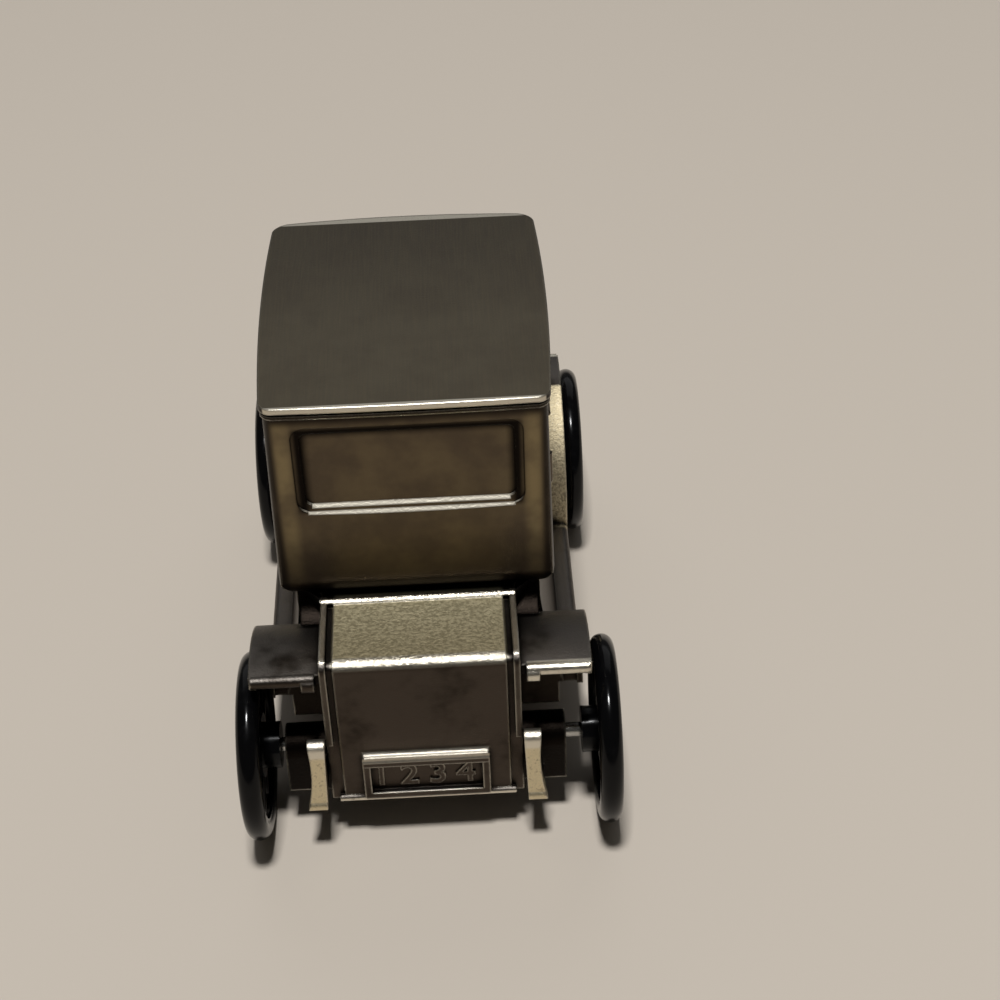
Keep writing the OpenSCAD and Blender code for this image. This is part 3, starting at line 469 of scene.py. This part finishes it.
# %% Patches of the chassis, in the same form
CHASSIS_PATCHES = {
    "grain": dict(size_mm=GRAIN_MM, low=0.25, high=0.75, detail=4),
    # Pits in the gilding, and the spots between them where it has gone dull
    "pits": dict(size_mm=PIT_MM, low=0.3, high=0.5, to=(0.55, 1.0), detail=4),
    "worn": dict(size_mm=PIT_MM, low=0.35, high=0.65, to=(0.0, 0.6), detail=5),
    "cloud": dict(size_mm=CLOUD_MM, low=0.4, high=0.75),
    # Breaks in the line that a cloth leaves
    "smears": dict(size_mm=SMEAR_MM, low=0.2, high=0.5, to=(0.6, 1.0)),
}


# %% Masks of the chassis
def chassis_masks(tree, place, where, top):
    """The regions of the chassis, pitted where they are gilded, and all that is rubbed bright."""
    on = patches(tree, place, CHASSIS_PATCHES) | regions(tree, where, CHASSIS_REGIONS)
    groove = grooves(tree)
    on["stain"] = overlap(tree, on["cloud"], on["cloud"])
    on["deep"] = overlap(tree, groove, groove)
    on["panel"] = overlap(tree, top, on["panel"])
    on["panel_front"] = overlap(tree, on["panel"], on["faded"])
    on["panel_worn"] = overlap(tree, on["panel"], on["worn"])
    # The rear fenders' gold is partly a painted highlight, laid where the lamp's highlight falls
    on["rear"] = overlap(tree, on["rear"], on["pits"])
    on["rear_foot"] = overlap(tree, on["rear"], on["worn"], on["rear_foot"])
    on["horn"] = overlap(tree, on["horn"], on["pits"])
    on["horn_worn"] = overlap(tree, on["horn"], on["worn"])
    on["gilded"] = brightest(tree, on["panel"], on["rear"])
    on["leather"] = overlap(tree, on["gilded"], on["worn"])
    lips = regions(tree, where, RUBBED_LIPS).values()
    rubbed = brightest(tree, rubbed_edges(tree, groove, on["grain"]), *lips)
    # No bright edges in the painted shade under the cab, nor on the rib's end
    on["bright"] = overlap(tree, without(tree, rubbed, on["under_cab_shade"], on["rib_end"]), on["smears"])
    return on


# %% Bronze of the chassis
CHASSIS_MATT, CHASSIS_POLISHED, GILDED_EXTRA = (0.34, 0.42), 0.24, 0.24
PIT_DEPTH = -3.0  # pits of the gilding, against the height of the cast grain


def chassis_finish():
    """Near-black metal with pale gold, leathery patches and broken bright lines along every lip."""
    material, tree, shader = new_material("antiqued_bronze_chassis", Metallic=1.0)
    place, where, top = survey(tree)
    on = chassis_masks(tree, place, where, top)
    # Painted shade: the black on the carriers, the hollow corners and the strip under the cab. Painted
    # highlight, in part: the warm gold of the rear fenders.
    body = layers(tree, FACE, (top, FENDER), (on["stain"], DARK), (on["carrier"], DIP_BLACK_AND_SHADE),
                  (on["corner"], DIP_BLACK_AND_SHADE), (on["under_cab_shade"], DIP_BLACK_AND_SHADE), (on["rear"], WARM),
                  (on["rear_foot"], FACE), (on["deep"], DIP_BLACK_AND_SHADE), (on["panel"], PANEL),
                  (on["panel_front"], GOLD), (on["panel_worn"], OLIVE), (on["horn"], WARM),
                  (on["horn_worn"], PANEL), (on["horn_top"], BARE), (on["bright"], BARE))
    matt = add(tree, "ShaderNodeMapRange", {0: on["grain"], 3: CHASSIS_MATT[0], 4: CHASSIS_MATT[1]})[0]
    dull = add(tree, "ShaderNodeMath", {0: on["gilded"], 1: GILDED_EXTRA, 2: matt},
               operation="MULTIPLY_ADD")[0]
    rough = add(tree, "ShaderNodeMix", {"Factor": on["bright"], 2: dull, 3: CHASSIS_POLISHED})[0]
    relief = add(tree, "ShaderNodeMath", {0: on["leather"], 1: PIT_DEPTH, 2: on["grain"]},
                 operation="MULTIPLY_ADD")[0]
    tree.links.new(body, shader.inputs["Base Color"])
    tree.links.new(rough, shader.inputs["Roughness"])
    cast_surface(tree, shader, relief, strength=0.4, depth_mm=0.08)
    return material


chassis_bronze = chassis_finish()
finish_cad(chassis_bronze, "chassis_casting")

# %% [markdown]
# ## Hollow corners beside the hood
# On the real casting the body sweeps round into the side of the hood in one hollow curve, which lies in
# the shade of the cab; the chassis finish paints that shade black on it. The CAD chassis has a plain fillet
# there, kept simple round the openings of the wheel arches. A small block with a hollow face, set over
# each fillet, gives the photographed sweep. Moving the fillet's own points could give it too, but the
# block is simpler and leaves the casting's mesh as it is.

# %% Measures of the hollow corners
SWEEP_MM = 5.2  # radius of the hollow
SWEEP_STEPS = 12
SWEEP_HOOD_MM, SWEEP_BODY_MM = 19.6, 29.8  # the faces of the hood's side and of the body's front
SWEEP_INTO_MM = 0.4  # how far the block reaches into both
SWEEP_LOW_MM, SWEEP_HIGH_MM = 37.0, 46.8
RIM_MM, RIM_STEPS = 0.3, 3  # rounding of the upper rim
CORNER_SHARP_DEG = 40


def sweep_outline():
    """The plan of one block: the hollow arc, then the points inside the castings."""
    middle = (SWEEP_HOOD_MM + SWEEP_MM, -SWEEP_BODY_MM - SWEEP_MM)
    turns = [math.radians(90 + 90 * i / SWEEP_STEPS) for i in range(SWEEP_STEPS + 1)]
    arc = [(middle[0] + SWEEP_MM * math.cos(a), middle[1] + SWEEP_MM * math.sin(a)) for a in turns]
    hood, body = SWEEP_HOOD_MM - SWEEP_INTO_MM, SWEEP_INTO_MM - SWEEP_BODY_MM
    return arc + [(hood, arc[-1][1]), (hood, body), (arc[0][0], body)]


# %% Hollow corners
def hollow_corners():
    """Both blocks as one piece: each plan raised to a prism, with its upper rim rounded."""
    made = bmesh.new()
    for side in (1, -1):
        plan = [(side * x * MM, y * MM, SWEEP_LOW_MM * MM) for x, y in sweep_outline()]
        low = made.faces.new([made.verts.new(point) for point in plan])
        raised = bmesh.ops.extrude_face_region(made, geom=[low])["geom"]
        top = [v for v in raised if isinstance(v, bmesh.types.BMVert)]
        bmesh.ops.translate(made, verts=top, vec=(0, 0, (SWEEP_HIGH_MM - SWEEP_LOW_MM) * MM))
    nearly_up = (SWEEP_HIGH_MM - 0.1) * MM
    rim = [e for e in made.edges if all(v.co.z > nearly_up for v in e.verts)]
    bmesh.ops.bevel(made, geom=rim, offset=RIM_MM * MM, segments=RIM_STEPS, affect="EDGES")
    bmesh.ops.recalc_face_normals(made, faces=made.faces)
    mesh = bpy.data.meshes.new("hollow_corners")
    made.to_mesh(mesh)
    made.free()
    smooth(mesh, CORNER_SHARP_DEG)
    mesh.materials.append(chassis_bronze)
    piece = placed("hollow_corners", mesh)
    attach(piece, "body")
    print("hollow corners:", len(mesh.polygons), "faces")


hollow_corners()

# %% [markdown]
# ## Black moulded wheels
# The wheels are one-piece mouldings in black ABS, polished by the mould. Such plastic is black all
# through, so light only shows as sharp reflections, softened by fine handling marks. Noise in the
# roughness gives those marks without changing the colour. A clear coat over a matt black would look
# alike, but no such coat is there.

# %% Wheels
MARK_MM, RIPPLE_MM = 2.5, 1.2  # handling marks, and the faint ripple of a moulded face
WHEEL_PATCHES = {
    "dust": dict(size_mm=MARK_MM, low=0.5, high=0.8, to=(0.0, 0.4), detail=5),
    # Roughness, from the polish of the mould to a handled spot
    "roughness": dict(size_mm=MARK_MM, low=0.35, high=0.75, to=(0.13, 0.24), detail=5),
    "ripple": dict(size_mm=RIPPLE_MM, low=0.0, high=1.0),
}


def black_plastic():
    """Deep black with small sharp highlights that break up where it was handled."""
    material, tree, shader = new_material("polished_black_abs", Specular_IOR_Level=0.17)
    place = add(tree, "ShaderNodeTexCoord")["Object"]
    marks = patches(tree, place, WHEEL_PATCHES)
    relief = {"Height": marks["ripple"], "Strength": 0.05, "Distance": 0.1 * MM}
    tree.links.new(layers(tree, "#060607", (marks["dust"], "#121213")), shader.inputs["Base Color"])
    tree.links.new(marks["roughness"], shader.inputs["Roughness"])
    tree.links.new(add(tree, "ShaderNodeBump", relief)[0], shader.inputs["Normal"])
    return material


wheels = [f"{end}_{side}_wheel" for end in ("front", "rear") for side in ("left", "right")]
finish_cad(black_plastic(), *wheels)

# %% [markdown]
# ## Steel, brass and the underside
# The axles are bright drawn rod, with fine lines along their length. Screws, trap cover and lock parts
# are plated or plain metal with a turned or pressed surface, and the base plate is sheet steel with a
# thin dark brown lacquer. All of them are the same recipe with other colours, line directions and
# roughness: a separate recipe for each would differ only in those numbers.

# %% Metals with fine lines
FINE_MM, LACQUER_MM, STAIN_MM = 0.4, 1.4, 9.0  # tool lines (drawn coarse to show), lacquer's peel, stains
SMOOTHER, ROUGHER = -0.06, 0.08  # how the lines vary the roughness


def lined_metal(name, bright, dull, roughness, lines=(1, 1, 1), size_mm=FINE_MM, metallic=1.0):
    """Metal whose tone and roughness vary in fine lines; lines is how the noise is stretched."""
    material, tree, shader = new_material(name, Metallic=metallic)
    place = add(tree, "ShaderNodeTexCoord")["Object"]
    fine = mottle(tree, place, size_mm, low=0.25, high=0.75, stretch=lines)
    stain = mottle(tree, place, STAIN_MM, low=0.3, high=0.7, to=(0.3, 1.0), detail=4)
    rough = add(tree, "ShaderNodeMapRange", {0: fine, 3: roughness + SMOOTHER, 4: roughness + ROUGHER})[0]
    tree.links.new(layers(tree, bright, (overlap(tree, fine, stain), dull)), shader.inputs["Base Color"])
    tree.links.new(rough, shader.inputs["Roughness"])
    cast_surface(tree, shader, fine, strength=0.1, depth_mm=0.05)
    return material


# %% The small metal pieces
# Drawn rod: cool and bright, with highlights drawn out along it.
rod = lined_metal("drawn_steel_rod", "#c9c8c4", "#8c8a86", 0.24, lines=(0.05, 1, 1))
finish_cad(rod, "front_axle", "rear_axle")
# Zinc plating: a soft even grey.
zinc = lined_metal("zinc_plated_steel", "#b4b3ae", "#7f7d78", 0.34)
finish_cad(zinc, "base_plate_screws", "cab_screws")
# Pressed sheet: bright, with the lines of the rolling mill.
pressed = lined_metal("pressed_plated_steel", "#b9b6ae", "#85827a", 0.3, lines=(1, 0.06, 1))
finish_cad(pressed, "trap_cover")
# Turned brass: the one yellow metal.
brass = lined_metal("turned_brass", "#cfae66", "#94763c", 0.28)
finish_cad(brass, "lock_barrel", "lock_plug")
# Aluminium: the palest, with a dull gloss.
aluminium = lined_metal("plain_aluminium", "#cfcfcf", "#9c9c9c", 0.36)
finish_cad(aluminium, "barrel_rivets")
# Plated steel of the lock: a darker grey than the screws.
lock_steel = lined_metal("plated_steel", "#a9a8a4", "#73726e", 0.32)
finish_cad(lock_steel, "stop_washer", "lock_cam", "cam_screw")
# Lacquered sheet: dark brown, half metal and half paint to the eye.
lacquered = lined_metal("brown_lacquered_steel", "#3b3228", "#241e17", 0.42,
                        size_mm=LACQUER_MM, metallic=0.6)
finish_cad(lacquered, "base_plate")

# %% [markdown]
# ## Digits on the number plate
# The plate carries raised figures, cast in one with the hood and rubbed bright on their edges. Plain
# generic digits stand there. They repeat by a rule, one beside the other at an even pitch, so a Geometry
# Nodes tree makes them: it turns a string into outlines, moves them outward for a bold stroke, fills and
# raises them, and closes their backs. Its sizes are named inputs, so that the same tree makes a plate of
# any size. A text object would do as well, but its sizes would be hidden in one object.

# %% Measures of the digits
DIGITS = "1234"
DIGIT_MM = 7.9  # height of the type
DIGIT_RISE_MM = 0.5
DIGIT_PITCH = 1.45  # spacing, as a share of the type's own
STROKE_MM = 0.25  # how far each outline moves outward
PLATE_MM = (0.0, -55.1, 14.3)  # middle of the row's foot, on the plate's face


# %% Tree of the digits
def digit_tree(material):
    """A row of raised digits standing on z = 0, with named inputs for the figures and their sizes."""
    tree = bpy.data.node_groups.new("raised_digits", "GeometryNodeTree")
    tree.interface.new_socket("Geometry", in_out="OUTPUT", socket_type="NodeSocketGeometry")
    tree.interface.new_socket("Figures", in_out="INPUT", socket_type="NodeSocketString")
    for name in ("Height", "Rise", "Pitch", "Stroke"):
        tree.interface.new_socket(name, in_out="INPUT", socket_type="NodeSocketFloat")
    given = add(tree, "NodeGroupInput")
    letters = {"String": given["Figures"], "Size": given["Height"], "Character Spacing": given["Pitch"]}
    row = add(tree, "GeometryNodeStringToCurves", letters, align_x="CENTER", align_y="BOTTOM_BASELINE")[0]
    outline = add(tree, "GeometryNodeRealizeInstances", {0: row})[0]
    points = add(tree, "GeometryNodeResampleCurve", {0: outline}, mode="EVALUATED")[0]
    away = add(tree, "GeometryNodeInputNormal")[0]
    step = add(tree, "ShaderNodeVectorMath", {0: away, "Scale": given["Stroke"]}, operation="SCALE")[0]
    bolder = add(tree, "GeometryNodeSetPosition", {0: points, "Offset": step})[0]
    flat = add(tree, "GeometryNodeFillCurve", {0: bolder}, mode="TRIANGLES")[0]
    lift = {"Mesh": flat, "Offset Scale": given["Rise"], "Individual": False}
    raised = add(tree, "GeometryNodeExtrudeMesh", lift)[0]
    back = add(tree, "GeometryNodeFlipFaces", {0: flat})[0]
    whole = tree.nodes.new("GeometryNodeJoinGeometry")
    for part in (raised, back):
        tree.links.new(part, whole.inputs[0])
    closed = add(tree, "GeometryNodeMergeByDistance", {0: whole.outputs[0], "Distance": MERGE_MM * MM})[0]
    solid = add(tree, "GeometryNodeRealizeInstances", {0: closed})[0]
    coated = add(tree, "GeometryNodeSetMaterial", {0: solid, "Material": material})[0]
    add(tree, "NodeGroupOutput", {0: coated})
    return tree


# %% Plate digits
def digit_mesh(tree):
    """The tree's result as a plain mesh, made on an object that is then thrown away."""
    holder = placed("plate_digits_holder", bpy.data.meshes.new("plate_digits_seed"))
    maker = holder.modifiers.new("raised_digits", "NODES")
    maker.node_group = tree
    given = {"Figures": DIGITS, "Height": DIGIT_MM * MM, "Rise": DIGIT_RISE_MM * MM,
             "Pitch": DIGIT_PITCH, "Stroke": STROKE_MM * MM}
    for item in tree.interface.items_tree:
        if item.in_out == "INPUT":
            maker[item.identifier] = given[item.name]
    bpy.context.view_layer.update()
    mesh = bpy.data.meshes.new_from_object(holder.evaluated_get(bpy.context.evaluated_depsgraph_get()))
    holder.modifiers.remove(maker)
    bpy.data.objects.remove(holder)
    return mesh


def plate_digits():
    """The row of digits, centred, stood upright and moved to the plate."""
    mesh = digit_mesh(digit_tree(chassis_bronze))
    across = [v.co.x for v in mesh.vertices]
    centre = Matrix.Translation((-(min(across) + max(across)) / 2, 0, 0))
    stand = Matrix.Rotation(math.pi / 2, 4, "X")
    mesh.transform(Matrix.Translation([c * MM for c in PLATE_MM]) @ stand @ centre)
    piece = placed("plate_digits", mesh)
    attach(piece, "body")
    low, high = ([round(f(v.co[i] for v in mesh.vertices) / MM, 2) for i in range(3)] for f in (min, max))
    print("digits:", len(mesh.polygons), "faces from", low, "to", high)


plate_digits()

# %% [markdown]
# ## Light, floor and camera
# In the photograph one lamp nearly over the car, a little to the front, throws short shadows under it and
# draws the bright lines on its edges, while the top faces mirror a pale wall behind. One soft lamp, one
# large dim panel for the wall and a weak even surround repeat that. A picture of a room would light it
# too, but would put its own shapes into every polished edge. The camera stands where a fit to the picture
# puts the photographer.

# %% Floor
FLOOR_HALF_M = 6.0


def pale_floor():
    """Even, nearly matt, and pale enough to show the shadow of the car."""
    material, tree, shader = new_material("pale_floor", Base_Color=linear("#c8beb1"), Roughness=0.6)
    rim = [(x * FLOOR_HALF_M, y * FLOOR_HALF_M, 0) for x, y in ((-1, -1), (1, -1), (1, 1), (-1, 1))]
    mesh = bpy.data.meshes.new("floor")
    mesh.from_pydata(rim, [], [(0, 1, 2, 3)])
    mesh.materials.append(material)
    placed("floor", mesh)


pale_floor()


# %% Lamps and world
def soft_lamp(name, place, target, size, watts):
    """An area lamp at a place in metres that looks at a target."""
    data = bpy.data.lights.new(name, "AREA")
    data.shape = "RECTANGLE"
    data.size, data.size_y = size
    data.energy = watts
    lamp = placed(name, data)
    lamp.location = place
    lamp.rotation_euler = (Vector(target) - Vector(place)).to_track_quat("-Z", "Y").to_euler()


soft_lamp("high_lamp", place=(-0.04, -0.5, 2.2), target=(0, 0, 0.04), size=(0.3, 0.3), watts=43.0)
soft_lamp("pale_wall", place=(0, 1.5, 1.25), target=(0, 0, 0.06), size=(2.6, 1.5), watts=5.0)

world = bpy.data.worlds.new("dim_room")
bpy.context.scene.world = world
world.use_nodes = True
surround = world.node_tree.nodes["Background"].inputs
surround["Color"].default_value = linear("#cfccc6")
surround["Strength"].default_value = 0.1

# %% Camera, from the fit to the photograph
CAMERA_MM = (12.01, -344.04, 316.29)
YAW, PITCH, ROLL = (math.radians(a) for a in (0.97, 38.52, -2.24))
FOCAL_PX = 2034.25
FRAME_PX = 1000
SENSOR_MM = 36.0


def photo_camera():
    """A camera turned by the yaw, tipped down by the pitch and rolled about its own axis."""
    forward = Vector((math.sin(YAW) * math.cos(PITCH), math.cos(YAW) * math.cos(PITCH), -math.sin(PITCH)))
    level = Vector((math.cos(YAW), -math.sin(YAW), 0))
    rise = level.cross(forward)
    right = level * math.cos(ROLL) + rise * math.sin(ROLL)
    upward = -level * math.sin(ROLL) + rise * math.cos(ROLL)
    data = bpy.data.cameras.new("photo_camera")
    data.sensor_width = SENSOR_MM
    data.lens = FOCAL_PX / FRAME_PX * SENSOR_MM
    camera = placed("photo_camera", data)
    turn = Matrix((right, upward, -forward)).transposed()
    camera.matrix_world = Matrix.Translation([c * MM for c in CAMERA_MM]) @ turn.to_4x4()
    bpy.context.scene.camera = camera
    print("lens:", round(data.lens, 2), "mm on a sensor of", SENSOR_MM, "mm")


photo_camera()
bpy.context.scene.view_settings.view_transform = "Standard"
